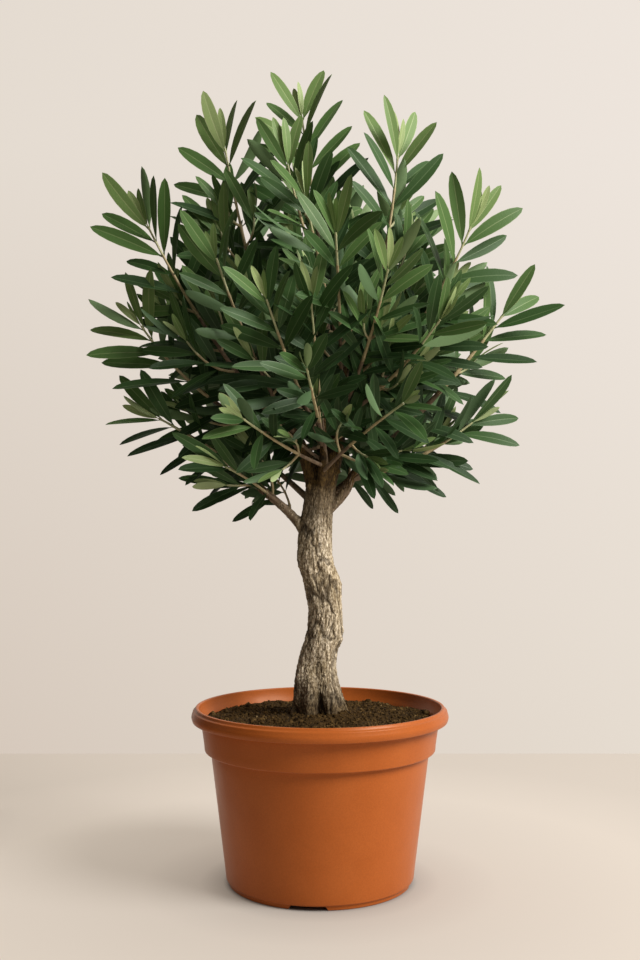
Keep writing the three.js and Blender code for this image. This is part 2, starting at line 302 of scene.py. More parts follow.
NOTCHES = 4
NOTCH_TURN = -97                       # degrees, so that one notch is just left of the front
NOTCH_TOP = 19 * MM                    # half a notch's width at its top
NOTCH_FOOT = 23 * MM                   # and at the floor
NOTCH_HEIGHT = 4.8 * MM
cutters = bmesh.new()
for k in range(NOTCHES):
    angle = math.radians(NOTCH_TURN + 360 / NOTCHES * k)
    out = Vector((math.cos(angle), math.sin(angle), 0))
    across = Vector((-out.y, out.x, 0))
    wedge = []
    for depth in (FOOT - 12 * MM, FOOT + 10 * MM):
        for reach, height in ((-NOTCH_FOOT, -MM), (NOTCH_FOOT, -MM),
                              (NOTCH_TOP, NOTCH_HEIGHT), (-NOTCH_TOP, NOTCH_HEIGHT)):
            wedge.append(cutters.verts.new(out * depth + across * reach + Vector((0, 0, height))))
    for corners in ((0, 1, 2, 3), (7, 6, 5, 4), (0, 4, 5, 1), (1, 5, 6, 2), (2, 6, 7, 3), (3, 7, 4, 0)):
        cutters.faces.new([wedge[i] for i in corners])
notch_tool = new_object("notches", mesh_of(cutters, "notches", soft=False))
notching = pot_body.modifiers.new("notches", "BOOLEAN")
notching.object = notch_tool
notching.operation = "DIFFERENCE"
notching.solver = "EXACT"
pot = applied(pot_body, "pot_terracotta")
bpy.data.objects.remove(notch_tool)
pot.data.set_sharp_from_angle(angle=math.radians(35))

# Moulded plastic: even and matte, a little mottled where the pigment is uneven, with the fine
# grain that the tool leaves and faint rub marks.
terracotta, tree, shader = finish_of("terracotta_plastic", (0.405, 0.098, 0.018), 0.5, 0.24)
mottle = ramp(tree, grain(tree, 24, 3), (0.3, (0.39, 0.094, 0.0165)), (0.7, (0.42, 0.106, 0.0205)))
speck = ramp(tree, grain(tree, 620, 2), (0.36, (0.94, 0.94, 0.94)), (0.66, (1.05, 1.05, 1.05)))
colour = blended(tree, 1.0, mottle, speck, "MULTIPLY")
tree.links.new(colour, shader.inputs["Base Color"])
rub = ramp(tree, grain(tree, 34, 4, (1, 1, 0.35)), (0.35, 0.33), (0.7, 0.43))
tree.links.new(rub, shader.inputs["Roughness"])
shader.inputs["Specular Tint"].default_value = (1, 0.8, 0.62, 1)
bumped(tree, shader, (grain(tree, 900, 2), 0.00003), (grain(tree, 60, 2), 0.00015))
pot.data.materials.clear()
pot.data.materials.append(terracotta)
finished(pot, "pot", "pot")


# ---- The soil ----
# Peat-free potting soil, dark and moist, mounded a little round the trunk. The body is one closed
# lump of uneven ground, and loose crumbs lie scattered on it.

soil_low, soil_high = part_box("soil")
SOIL_EDGE = soil_high.x - 0.4 * MM     # radius where the soil meets the pot
SOIL_HEIGHT = soil_high.z - 10 * MM    # height at the pot's wall
MOUND = 9.5 * MM


def ground(x, y):
    """The height of the soil at a place."""
    share = min(math.hypot(x, y) / SOIL_EDGE, 1)
    rise = MOUND * (0.5 + 0.5 * math.cos(math.pi * min(share * 1.15, 1)))
    rough = 4.2 * noise.noise(Vector((x, y, 0.3)) * 34) + 2.4 * noise.noise(Vector((x, y, 2)) * 90)
    rough += 1.1 * noise.noise(Vector((x, y, 5)) * 210)
    heap = 4.5 * max(0, noise.noise(Vector((x + 0.4, y, 8)) * 22)) * (1 - share)
    return SOIL_HEIGHT + rise + (rough + heap) * MM


SOIL_RINGS = 66
SOIL_SEGMENTS = 240
soil_body = bmesh.new()
middle = soil_body.verts.new((0, 0, ground(0, 0)))
rings = [[middle] * SOIL_SEGMENTS]
sides = [(SOIL_EDGE * i / SOIL_RINGS, None) for i in range(1, SOIL_RINGS + 1)]
sides += [(SOIL_EDGE, SOIL_HEIGHT - 8 * MM), (WALL_TOP - WALL - MM, COLLAR_FOOT_HEIGHT - 6 * MM)]
sides += [(WALL_FOOT - WALL - MM, soil_low.z + MM)]
for radius, height in sides:
    ring = []
    for i in range(SOIL_SEGMENTS):
        x, y = radius * math.cos(TAU * i / SOIL_SEGMENTS), radius * math.sin(TAU * i / SOIL_SEGMENTS)
        ring.append(soil_body.verts.new((x, y, ground(x, y) if height is None else height)))
    rings.append(ring)
bridged(soil_body, rings)
soil_body.faces.new(reversed(rings[-1]))

earth, tree, shader = finish_of("potting_soil", (0.03, 0.019, 0.009), 0.95, 0.12)
clods = ramp(tree, grain(tree, 260, 5, distortion=0.4), (0.3, (0.012, 0.006, 0.0015)),
             (0.55, (0.050, 0.027, 0.007)), (0.75, (0.088, 0.049, 0.014)))
tree.links.new(clods, shader.inputs["Base Color"])
bumped(tree, shader, (grain(tree, 420, 5), 0.0016), (grain(tree, 1500, 3), 0.0005))
soil = new_object("soil_ground", mesh_of(soil_body, "soil_ground"))
soil.data.materials.append(earth)
finished(soil, "soil", "soil")


# Crumbs: uneven lumps scattered over the top of the soil, in a fine layer and a coarse one.
def lump(name, seed, detail):
    """An uneven lump a unit across."""
    body = bmesh.new()
    bmesh.ops.create_icosphere(body, subdivisions=detail, radius=0.5)
    for vertex in body.verts:
        push = noise.noise(vertex.co * 2.3 + Vector((seed, 0, 0)))
        vertex.co *= 1 + 0.75 * push
        vertex.co.z *= 0.8
    return bpy.data.objects.new(name, mesh_of(body, name, turn_out=False))


crumb_kinds = bpy.data.collections.new("crumb_kinds")
for k in range(4):
    crumb_kinds.objects.link(lump(f"crumb_{k}", 3.7 * k, 1 if k < 3 else 2))

crumbs_tree, given, result = tree_of(
    "scattered_crumbs", ("Kinds", "Collection"), ("Material", "Material"), ("Density", "Float"),
    ("Smallest", "Float"), ("Largest", "Float"), ("Seed", "Int"))
where = added(crumbs_tree, "GeometryNodeDistributePointsOnFaces", ("Mesh", given.outputs["Geometry"]),
              ("Density", given.outputs["Density"]), ("Seed", given.outputs["Seed"]))
spin = added(crumbs_tree, "FunctionNodeRandomValue", ("Seed", given.outputs["Seed"]), (1, (TAU, TAU, TAU)),
             data_type="FLOAT_VECTOR")
pick = added(crumbs_tree, "FunctionNodeRandomValue", ("Seed", given.outputs["Seed"]), data_type="FLOAT")
# Few lumps are large: the pick is raised to a power before it becomes a size.
skewed = added(crumbs_tree, "ShaderNodeMath", (0, pick.outputs[1]), (1, 3.0), operation="POWER")
size = added(crumbs_tree, "ShaderNodeMapRange", ("Value", skewed.outputs[0]),
             ("To Min", given.outputs["Smallest"]), ("To Max", given.outputs["Largest"]))
lumps = dealt_out(crumbs_tree, given, where.outputs["Points"], ("Rotation", spin.outputs[0]),
                  ("Scale", size.outputs["Result"]))
painted(crumbs_tree, lumps, given, result)

crumb_earth, tree, shader = finish_of("soil_crumbs", (0.035, 0.022, 0.010), 0.95, 0.12)
shade = ramp(tree, grain(tree, 170, 4), (0.32, (0.013, 0.0065, 0.0018)), (0.52, (0.052, 0.028, 0.0072)),
             (0.69, (0.125, 0.074, 0.024)), (0.77, (0.40, 0.31, 0.17)))
tree.links.new(shade, shader.inputs["Base Color"])
bumped(tree, shader, (grain(tree, 1400, 3), 0.0006))

soil_top = bmesh.new()
soil_top.from_mesh(soil.data)
under = [face for face in soil_top.faces
         if face.normal.z < 0.3 or face.calc_center_median().xy.length > SOIL_EDGE - 3 * MM]
bmesh.ops.delete(soil_top, geom=under, context="FACES")
top_mesh = mesh_of(soil_top, "soil_top", turn_out=False, soft=False)
# Each layer: its name, lumps to a square metre, smallest and largest lump, and seed.
for name, density, smallest, largest, seed in (("soil_crumbs", 96000.0, 1.2 * MM, 5.5 * MM, 4),
                                               ("soil_clods", 3000.0, 3.0 * MM, 10 * MM, 9)):
    layer = grown_by(crumbs_tree, new_object("soil_top", top_mesh.copy()), name, kinds=crumb_kinds,
                     material=crumb_earth, density=density, smallest=smallest, largest=largest, seed=seed)
    smooth(layer.data)
    finished(layer, "soil")


# ---- The trunk and its boughs ----
# A young stem that has thickened in two bends, with a lobed foot where the roots spread, grey
# furrowed bark, and burls over old pruning cuts. It forks into leaders, and low boughs leave it
# just under the fork. The limbs are grown as tubes, merged into one skin, and cut by furrows.

trunk_low, trunk_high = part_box("trunk")


def rings_of(node):
    """The middle and mean radius of each level ring of a CAD limb, from its foot up."""
    levels = {}
    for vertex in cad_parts[node].data.vertices:
        levels.setdefault(round(vertex.co.z, 4), set()).add(tuple(round(c, 5) for c in vertex.co))
    rows = []
    for height in sorted(levels):
        points = [Vector(p) for p in levels[height]]
        centre = sum(points, Vector()) / len(points)
        reach = [(p - centre).length for p in points]
        rows.append((centre, sum(reach) / sum(r > MM for r in reach)))
    return rows


trunk_rings = rings_of("trunk")
fork = trunk_rings[-1][0]


def trunk_at(height):
    """The trunk's middle and radius at a height, between its rings."""
    for (low, r_low), (high, r_high) in zip(trunk_rings, trunk_rings[1:]):
        if height <= high.z:
            break
    t = min(max((height - low.z) / (high.z - low.z), 0), 1)
    return low.lerp(high, t), r_low + (r_high - r_low) * t


def curve_through(points, step):
    """A smooth line through points, as closely spaced points of about one step."""
    line = [points[0] * 2 - points[1], *points, points[-1] * 2 - points[-2]]
    made = []
    for a, b, c, d in zip(line, line[1:], line[2:], line[3:]):
        count = max(2, round((c - b).length / step))
        for i in range(count):
            t = i / count
            made.append(0.5 * (2 * b + (c - a) * t + (2 * a - 5 * b + 4 * c - d) * t * t
                               + (3 * b - a - 3 * c + d) * t ** 3))
    made.append(points[-1].copy())
    return made


def frames_along(line):
    """Two directions across a line at each of its points, turning as little as they can."""
    ways = [(b - a).normalized() for a, b in zip(line, line[1:])]
    ways.append(ways[-1])
    first = Vector((0, -1, 0)) if abs(ways[0].z) > 0.5 else Vector((0, 0, 1))
    frames = []
    for way in ways:
        first = (first - way * first.dot(way)).normalized()
        frames.append((first, way.cross(first), way))
    return frames


def tube(body, line, radius_at, sides):
    """A closed round limb along a line, added to a bmesh."""
    rings = []
    for i, (spot, (first, second, _)) in enumerate(zip(line, frames_along(line))):
        ring = []
        for k in range(sides):
            angle = TAU * k / sides
            reach = radius_at(i, angle)
            ring.append(body.verts.new(spot + (first * math.cos(angle) + second * math.sin(angle)) * reach))
        rings.append(ring)
    capped(body, rings)


# The leaders and low boughs, each by its points as offsets from the fork, in millimetres, and its
# radius where it starts and ends.
LEADERS = {
    "right": ([(0, 0, -34), (7, -1, 10), (18, 0, 52), (26, 4, 104), (31, 8, 170), (27, 12, 235)], 15.5, 5.0),
    "left": ([(-3, 0, -30), (-6, -1, 8), (-17, -4, 46), (-38, -6, 92), (-58, -4, 160)], 12.0, 4.2),
    "back": ([(0, 3, -30), (1, 14, 14), (4, 34, 66), (8, 56, 130)], 11.0, 4.2),
    "front": ([(1, -3, -24), (3, -12, 16), (5, -28, 60), (5, -50, 92)], 8.0, 2.6),
}
leader_lines = {}
for name, (points, thick, thin) in LEADERS.items():
    line = curve_through([fork + Vector(p) * MM for p in points], 4 * MM)
    leader_lines[name] = (line, thick * MM, thin * MM)


def spot_at(line, height):
    """The first point where a rising line reaches a height."""
    for low, high in zip(line, line[1:]):
        if low.z <= height <= high.z:
            return low.lerp(high, (height - low.z) / max(high.z - low.z, 1e-9))
    return line[-1].copy()


def bowed(start, end, turn, bow, step):
    """A line from start to end that bows outwards and down by a height at its middle."""
    along = (end - start).normalized()
    outward = Vector((math.cos(turn), math.sin(turn), 0))
    sag = (outward - along * outward.dot(along)).normalized()
    if along.z < 0.2:
        sag = Vector((0, 0, -1))
    middle = start.lerp(end, 0.5) + sag * (2 * bow)
    count = max(6, round((end - start).length / step))
    return [start * (1 - t) ** 2 + middle * (2 * t * (1 - t)) + end * t * t
            for t in (i / count for i in range(count + 1))]


# The shoots that make the crown, each ending in a plume of leaves. The rows say which limb a shoot
# grows from and at what height, where its tip is (compass turn, reach from the axis, height), how
# far it bows, how thick its foot is, and what share of it is bare. In degrees and millimetres.
SHOOTS = {
    "top_centre": ("right", 522, 185, 22, 905, -4, 4.2, 0.25),
    "top_left": ("left", 508, 189, 114, 862, 6, 4.0, 0.2),
    "top_right": ("right", 580, 342, 96, 850, 12, 4.0, 0.2),
    "upper_left": ("left", 500, 197, 206, 758, 12, 4.0, 0.2),
    "upper_right": ("right", 548, 339, 184, 756, 16, 4.0, 0.2),
    "mid_left": ("left", 512, 189, 211, 648, 20, 3.8, 0.2),
    "mid_right": ("trunk", 424, 354, 217, 664, 8, 7.0, 0.2),
    "low_left": ("trunk", 396, 189, 190, 540, -3, 7.0, 0.04),
    "low_right": ("mid_right", 470, 352, 180, 536, 10, 3.6, 0.1),
    "front_left_low": ("front", 486, 244, 184, 528, 4, 2.6, 0.2),
    "front_right_low": ("front", 478, 298, 186, 544, -4, 2.6, 0.2),
    "front_centre": ("front", 514, 266, 194, 577, 2, 2.8, 0.15),
    "front_left_high": ("front", 508, 250, 165, 655, 6, 3.0, 0.2),
    "front_right_high": ("right", 545, 297, 160, 690, 8, 3.2, 0.2),
    "back_top": ("back", 570, 78, 92, 796, 12, 4.2, 0.2),
    "back_top_left": ("left", 560, 132, 132, 790, 14, 4.2, 0.2),
    "back_top_right": ("right", 560, 42, 140, 780, 14, 4.2, 0.2),
    "back_upper_left": ("left", 520, 146, 176, 694, 12, 4.4, 0.2),
    "back_upper_right": ("right", 520, 28, 180, 698, 12, 4.4, 0.2),
    "back_mid": ("back", 500, 92, 200, 672, 12, 4.2, 0.25),
    "back_mid_left": ("back", 486, 120, 196, 606, 8, 4.2, 0.25),
    "back_mid_right": ("back", 480, 60, 200, 614, 8, 4.2, 0.25),
    "back_low_left": ("trunk", 436, 140, 168, 540, -4, 5.2, 0.2),
    "back_low_right": ("trunk", 438, 38, 170, 542, -4, 5.2, 0.2),
    "back_low": ("trunk", 444, 88, 176, 528, 0, 5.2, 0.14),
    "crown_left": ("top_centre", 700, 233, 62, 832, 5, 2.6, 0.1),
    "skirt_left": ("low_left", 440, 212, 126, 482, -3, 2.2, 0.0),
    "front_upper": ("right", 600, 262, 118, 776, 6, 3.0, 0.2),
    "front_mid": ("right", 560, 276, 158, 726, 8, 3.0, 0.25),
    "front_left_mid": ("left", 520, 228, 168, 706, 8, 3.0, 0.25),
    "front_right_mid": ("right", 540, 318, 176, 640, 8, 3.0, 0.25),
    "back_upper": ("back", 570, 98, 158, 742, 10, 3.8, 0.2),
    "back_left": ("left", 545, 160, 140, 742, 12, 3.8, 0.2),
}
# Two low boughs leave the trunk steeply before they spread. They pass these points on the way.
ON_THE_WAY = {
    "mid_right": ((17, -4, 441), (31, -7, 457), (42, -8, 479)),
    "low_left": ((-22, -4, 414), (-37, -6, 431), (-60, -8, 451), (-100, -12, 483)),
}
limb_lines = {"trunk": [centre for centre, _ in trunk_rings]}
limb_lines.update({name: line for name, (line, _, _) in leader_lines.items()})
for name, (parent, root, turn, out, top, bow, _, _) in SHOOTS.items():
    turn = math.radians(turn)
    tip = Vector((out * math.cos(turn), out * math.sin(turn), top)) * MM
    start = spot_at(limb_lines[parent], root * MM)
    way = [Vector(p) * MM for p in ON_THE_WAY.get(name, ())]
    rest = bowed((way or [start])[-1], tip, turn, bow * MM, 6 * MM)
    limb_lines[name] = curve_through([start, *way, *rest[8::8], tip], 6 * MM) if way else rest

# The foot of the trunk spreads into root lobes with clefts between them: compass turn, height of
# spread, and how far out or in.
ROOT_LOBES = ((-158, 34, 9.5), (-118, 22, 4.5), (-52, 30, 7.5), (-8, 40, 8.0), (48, 30, 7.0), (104, 34, 8.0),
              (152, 26, 6.0))
CLEFTS = ((-88, 30, 13.0), (-136, 26, 3.0), (-34, 30, 2.5), (20, 30, 4.0), (76, 34, 5.0), (128, 28, 5.0))
LOBE_WIDE, CLEFT_WIDE = 17, 13          # degrees
SOIL_LEVEL = trunk_low.z
# Burls and hollows on the stem: compass turn, height over the soil, how far out or in, how wide.
BURLS = ((4, 150, 5.0, 12), (-14, 86, 4.2, 10), (-158, 176, 3.4, 12), (120, 120, 4.5, 14), (60, 190, 3.6, 11))
HOLLOWS = ((-84, 157, 4.2, 10), (-112, 52, 5.5, 12), (100, 80, 4.0, 12))


def turn_from(start, end):
    """The turn from one compass direction to another, from -180 to 180 degrees."""
    return (end - start + 180) % 360 - 180


def trunk_radius(height, angle):
    """The trunk's reach at a height and a compass turn, with its lobes, clefts, burls and hollows."""
    reach = trunk_at(height)[1]
    up = (height - SOIL_LEVEL) / MM
    degrees = math.degrees(angle)
    for turn, tall, far in ROOT_LOBES:
        apart = turn_from(turn, degrees) / LOBE_WIDE
        reach += far * MM * math.exp(-apart ** 2 - max(up + 6, 0) / tall) * 0.75
    for turn, tall, deep in CLEFTS:
        apart = turn_from(turn, degrees) / CLEFT_WIDE
        reach -= deep * MM * math.exp(-apart ** 2 - max(up, 0) / tall) * 0.8
    for sign, marks in ((1, BURLS), (-1, HOLLOWS)):
        for turn, middle, size, wide in marks:
            apart = math.radians(turn_from(turn, degrees)) * reach / MM
            reach += sign * size * MM * math.exp(-(apart * apart + 0.5 * (up - middle) ** 2) / wide ** 2)
    return reach


limbs = bmesh.new()
TRUNK_SIDES = 40
trunk_foot = SOIL_LEVEL - 8 * MM
DOME = 20 * MM                          # the trunk closes over this height, inside the leaders
levels = [trunk_foot + (trunk_high.z - trunk_foot) * i / 70 for i in range(71)]
levels += [trunk_high.z + DOME * t for t in (0.25, 0.5, 0.7, 0.85, 0.95)]
rings = []
for height in levels:
    middle = trunk_at(height)[0]
    ring = []
    for k in range(TRUNK_SIDES):
        angle = TAU * k / TRUNK_SIDES
        reach = trunk_radius(height, angle) * math.sqrt(1 - max(0, (height - trunk_high.z) / DOME) ** 2)
        x, y = middle.x + reach * math.cos(angle), middle.y + reach * math.sin(angle)
        ring.append(limbs.verts.new((x, y, height)))
    rings.append(ring)
capped(limbs, rings)

for name, (line, thick, thin) in leader_lines.items():
    count = len(line) - 1
    tube(limbs, line, lambda i, a: thin + (thick - thin) * (1 - i / count) ** 1.3, 20)
# The first stretch of each thick bough is part of the bark, with a collar where it leaves.
BARK_BOUGHS = {"mid_right": 0.42, "low_left": 0.5, "back_low_left": 0.4, "back_low_right": 0.4,
               "back_low": 0.4}
for name, share in BARK_BOUGHS.items():
    line = limb_lines[name]
    line = line[:max(4, round(len(line) * share))]
    thick = SHOOTS[name][6] * MM
    count = len(line) - 1
    tube(limbs, line, lambda i, a: thick * (1 - 0.42 * i / count) + 3.5 * MM * math.exp(-i / 1.6), 16)
# Snags of old pruned twigs near the fork: where each stands, in millimetres, and its way.
SNAGS = (((-10.2, -2, 48), (-0.7, -0.2, 0.7)), ((13.2, -2, 22), (0.8, -0.4, 0.35)),
         ((-7.2, -2, 6), (-0.5, -0.8, 0.3)))
SNAG_RADII = (3.4, 3.0, 2.7, 2.4)
for foot, way in SNAGS:
    line = [fork + Vector(foot) * MM + Vector(way) * (t * 5 * MM) for t in range(len(SNAG_RADII))]
    tube(limbs, line, lambda i, a: SNAG_RADII[i] * MM, 10)
limb_body = new_object("limbs", mesh_of(limbs, "limbs", soft=False))
merging = limb_body.modifiers.new("merging", "REMESH")
merging.mode = "VOXEL"
merging.voxel_size = 1.05 * MM
easing = limb_body.modifiers.new("easing", "SMOOTH")
easing.factor = 0.5
easing.iterations = 3
bark = applied(limb_body, "bark")

# Bark relief: long furrows that wind slowly round the limb, finer cracks between them, and scaly
# crumbs on the ridges. The depth of the furrows is kept as an attribute for the painted shade in them.
FURROW = 1.7 * MM
CRACK = 0.8 * MM
SCALE = 0.55 * MM
TWIST = 3.0                             # radians per metre


def furrowed(point, width):
    """A narrow winding line where a noise crosses zero: 1 in its middle, 0 at its width."""
    return max(0, 1 - abs(noise.noise(point)) / width)


def plated(point):
    """The cracks between irregular plates: 1 in a crack, 0 on a plate."""
    distances = noise.voronoi(point)[0]
    return max(0, 1 - 5 * (distances[1] - distances[0]))


def vectors_of(items, label):
    """A vector property of many items, as rows."""
    values = np.empty(len(items) * 3)
    items.foreach_get(label, values)
    return values.reshape(-1, 3)


def point_values(mesh, name, values, kind="FLOAT", label="value"):
    """A new attribute on a mesh's points."""
    mesh.attributes.new(name, kind, "POINT").data.foreach_set(label, values)


count = len(bark.data.vertices)
places = vectors_of(bark.data.vertices, "co")
normals = vectors_of(bark.data.vertex_normals, "vector")
depths = np.zeros(count, dtype=np.float32)
for i in range(count):
    x, y, z = places[i]
    middle = trunk_at(min(z, trunk_high.z))[0] if z < fork.z else fork
    turn = TWIST * (z - SOIL_LEVEL)
    across = Vector((x - middle.x, y - middle.y, 0))
    # The relief is full on the old trunk, and fades up the young leaders and on thin limbs.
    old = min(max((fork.z + 30 * MM - z) / (60 * MM), 0.12), 1)
    thick = min(max(across.length / (14 * MM), 0.3), max(0.5, min(1, 1 - (z - fork.z) / (40 * MM))))
    across = Vector((across.x * math.cos(turn) + across.y * math.sin(turn),
                     -across.x * math.sin(turn) + across.y * math.cos(turn), 0))
    bend = 0.8 * noise.noise(Vector((x, y, z)) * 24) + 0.3 * noise.noise(Vector((x, y, z)) * 90)
    long = furrowed(Vector((across.x * 66 + bend, across.y * 66 - bend, z * 10)), 0.13)
    fine = furrowed(Vector((across.x * 170 + 5 + bend, across.y * 170, z * 26 + bend)), 0.17)
    plate = plated(Vector((across.x * 260 + bend, across.y * 260 - bend, z * 52)))
    crumb = noise.noise(Vector((x, y, z)) * 330) + 0.7 * noise.noise(Vector((x, y, z * 0.6)) * 640)
    swell = noise.noise(Vector((across.x * 48, across.y * 48, z * 14)) + Vector((7, 0, 0)))
    depths[i] = min(1.0, 0.9 * long + 0.5 * fine + 0.3 * plate)
    push = (swell * 1.1 - long) * FURROW * old * thick
    push -= (fine + 0.6 * plate) * CRACK * (0.3 + 0.7 * old) * thick
    push += crumb * SCALE * (0.35 + 0.65 * old)
    places[i] += normals[i] * push
bark.data.vertices.foreach_set("co", places.ravel())
point_values(bark.data, "furrow_shade", depths)
# Darker young bark and painted shade from the crown come in just under the fork, and the foot,
# soil-stained and in painted shade, is nearly as dark.
heights = places[:, 2]
young = np.clip((heights - (fork.z - 62 * MM)) / (74 * MM), 0, 1)
soil_stain_and_shade = np.clip((SOIL_LEVEL + 52 * MM - heights) / (52 * MM), 0, 0.9)
point_values(bark.data, "young", np.maximum(young, soil_stain_and_shade).astype(np.float32))
smooth(bark.data)

# Partly the bark's own darker colour, partly painted shade.
DARKER_BARK_AND_SHADE_TINT = (0.16, 0.112, 0.040)       # multiplies the bark's colour on the leaders and the foot


def bark_finish(name, ridge, body, crack, dark):
    """Bark: scaly ridges, browner faces, and dark cracks, with painted shade in the furrows."""
    material, tree, shader = finish_of(name, body, 0.88, 0.3)
    broad = ramp(tree, grain(tree, 40, 3, (1, 1, 0.3)), (0.38, body), (0.60, ridge))
    flecks = ramp(tree, grain(tree, 330, 6, (1, 1, 0.24), 0.8), (0.36, crack), (0.47, body), (0.60, ridge))
    skin = blended(tree, 0.55, broad, flecks)
    fine = ramp(tree, grain(tree, 640, 4, (1, 1, 0.5)), (0.38, (0.50, 0.46, 0.40)),
                (0.62, (1.26, 1.26, 1.27)))
    skin = blended(tree, 1.0, skin, fine, "MULTIPLY")
    streaks = ramp(tree, grain(tree, 380, 6, (1, 1, 0.11), 0.9), (0.38, (0.54, 0.49, 0.41)),
                   (0.46, (0.92, 0.90, 0.87)), (0.62, (1.14, 1.14, 1.16)))
    skin = blended(tree, 1.0, skin, streaks, "MULTIPLY")
    furrow_shade = added(tree, "ShaderNodeAttribute", attribute_name="furrow_shade").outputs["Fac"]
    # Painted shade: the bark darkens towards the dark colour where the furrows are deep.
    skin = blended(tree, ramp(tree, furrow_shade, (0.25, 0.0), (0.95, 0.78)), skin, dark)
    # Under the fork and at the foot the bark is darker: its own colour, and painted shade.
    young = added(tree, "ShaderNodeAttribute", attribute_name="young").outputs["Fac"]
    skin = blended(tree, young, skin, blended(tree, 1.0, skin, DARKER_BARK_AND_SHADE_TINT, "MULTIPLY"))
    tree.links.new(skin, shader.inputs["Base Color"])
    bumped(tree, shader, (grain(tree, 380, 6, (1, 1, 0.11), 0.9), 0.0020),
           (grain(tree, 820, 4, (1, 1, 0.55)), 0.0009))
    return material


# The last colour is the painted shade in the furrows.
old_bark = bark_finish("olive_bark", (0.72, 0.63, 0.485), (0.41, 0.33, 0.205), (0.080, 0.052, 0.026),
                       (0.045, 0.028, 0.012))
bark.data.materials.append(old_bark)
finished(bark, "bark", *[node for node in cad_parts
                         if node == "trunk" or node.startswith(("leader_", "bough_"))])


# ---- The shoots ----
# Straight young stems with a pair of leaves at each joint, the pairs crossing each other. A stem
# is green at its tip, tan where it has hardened, and brown where it is two years old. Side twigs
# grow in the axils of the older pairs. One rule grows them all, and each shoot's name is its seed.

rng = random.Random(23)
TINTS = ("deep", "dark", "mid", "light", "pale")
sprays = {tint: [] for tint in TINTS}
stems = {"green": [], "tan": [], "brown": []}
CROWN = Vector((0, 0, 610 * MM))
LEAF_KINDS = 6
FLIPPED = 0.12                          # the share of leaves that show their undersides
# The crown's skirt, in millimetres over the fork: its height round the trunk, how much higher it
# is 200 mm out, and how far under it a leaf may hang.
SKIRT, SKIRT_RISE, SKIRT_HANG = -33, 58, 34
# Nothing hides the fork: how near it sideways and up to what height over it no leaf comes, in
# millimetres, and whether only in front of the trunk.
CLEAR = ((25, 50, True), (46, 14, False), (74, -22, False))
TWIG_AGE = 84 * MM                      # how far from the tip the first side twig may be
TWIG_LONGEST = 105 * MM
LONG_SHOOT = 120 * MM
# The first gap between leaf pairs, the widest, and the ages at which the stem turns tan and brown.
LONG_STEM = (17 * MM, 26 * MM, 34 * MM, 118 * MM)
SHORT_STEM = (13 * MM, 20 * MM, 18 * MM, 70 * MM)


def faced(place):
    """Which way the leaves at a place turn their upper sides: out of the crown, and up."""
    out = Vector((place.x, place.y, 0)) / (150 * MM)
    if out.length > 1:
        out.normalize()
    return (out * 0.6 + Vector((0, -1.0 if place.y < 30 * MM else 1.0, 0.35))).normalized()


def tint_of(place, age, spray_tone_and_shade):
    """A tint by the leaf's age, its spray's tone, and painted light and shade: lighter far out and high up.
    """
    # Painted shade deep inside and low in the crown, painted light far out and high up.
    far = (place - CROWN).length / (300 * MM)
    tone = 0.2 + 1.5 * far + 1.7 * math.exp(-age / (42 * MM))
    tone += (place.z - CROWN.z) / ((420 if place.z > CROWN.z else 200) * MM)
    tone += spray_tone_and_shade + rng.gauss(0, 0.45)
    return TINTS[min(max(int(tone), 0), 4)]


def add_leaf(place, way, stem_way, length, tint, loose=0.2):
    """One leaf: its foot, which way it points, which way its upper side faces, and its length."""
    way = way.normalized()
    # Nothing hangs far below the crown's skirt. What hangs a little below it is bent up or left out.
    tip = place + way * length
    rise = SKIRT_RISE * (math.hypot(tip.x, tip.y) / (200 * MM)) ** 2
    skirt = fork.z + (SKIRT + rise + rng.uniform(-4, 12)) * MM
    if tip.z < skirt - SKIRT_HANG * MM or tip.z < skirt and rng.random() < 0.4:
        return
    if tip.z < skirt:
        way = (way + Vector((0, 0, 0.5 * (skirt - tip.z) / length))).normalized()
    for share in (0.4, 0.7, 1):
        reached = place + way * (length * share)
        for wide, top, in_front in CLEAR:
            beside = abs(reached.x - fork.x) < wide * MM and (reached.y < 0 or not in_front)
            if beside and reached.z < fork.z + top * MM:
                return
    face = stem_way * 0.25 + faced(place) + Vector([rng.gauss(0, loose) for _ in range(3)])
    face = (face - way * face.dot(way)).normalized()
    if rng.random() < FLIPPED:
        face = -face
    sprays[tint].append((place, way, face, length, rng.randrange(LEAF_KINDS)))


def measured(line):
    """How far along the line each point is."""
    far = [0.0]
    for a, b in zip(line, line[1:]):
        far.append(far[-1] + (b - a).length)
    return far


def point_on(line, far, distance):
    """The place and direction at a distance along a line."""
    for i in range(1, len(line)):
        if distance <= far[i] or i == len(line) - 1:
            t = (distance - far[i - 1]) / max(far[i] - far[i - 1], 1e-9)
            return line[i - 1].lerp(line[i], min(max(t, 0), 1)), (line[i] - line[i - 1]).normalized()


